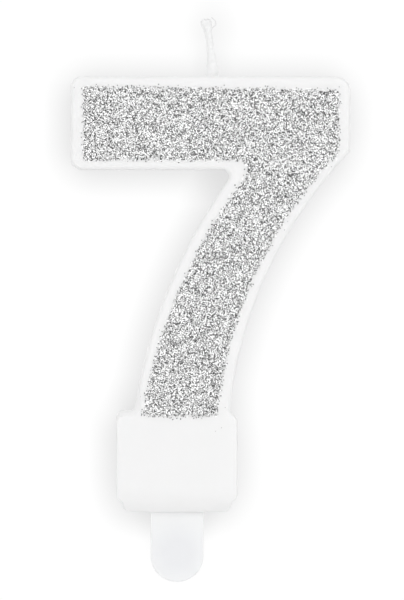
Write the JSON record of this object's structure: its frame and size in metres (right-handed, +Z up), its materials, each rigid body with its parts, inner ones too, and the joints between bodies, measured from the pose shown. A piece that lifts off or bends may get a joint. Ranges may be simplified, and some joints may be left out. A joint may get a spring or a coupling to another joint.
{
  "type": "number birthday candle",
  "caption": "Moulded wax numeral candle with a glittered front, a waxed cotton wick, a foot block and a flat plastic pick that pushes into the foot.",
  "frame": {"origin": "centre of the foot's underside, where the candle rests on the icing and the pick leaves it", "axes": "+Z up along the candle, +X to the right as the numeral is read, -Y out of the glittered front"},
  "size_m": [0.0447, 0.0094, 0.0905],
  "materials": {
    "wax": "white paraffin wax, soft satin",
    "cotton": "twisted cotton, lightly waxed",
    "wick_wax": "thin white wax coat",
    "glue": "clear dried glue",
    "silver_glitter": "silver metallised film flakes, sparkling",
    "pick_plastic": "translucent cool white, satin"
  },
  "bodies": {
    "candle": {"wax_body": "wax", "wick_strand_1": "cotton", "wick_strand_2": "cotton", "wick_strand_3": "cotton", "wick_wax_coat": "wick_wax", "glitter_adhesive": "glue", "glitter_layer": "silver_glitter"},
    "pick": {"pick": "pick_plastic"}
  },
  "joints": [
    {"name": "pick_slide", "type": "slide", "parent": "candle", "child": "pick", "axis": [0, 0, -1], "range_m": [0, 0.011]}
  ]
}
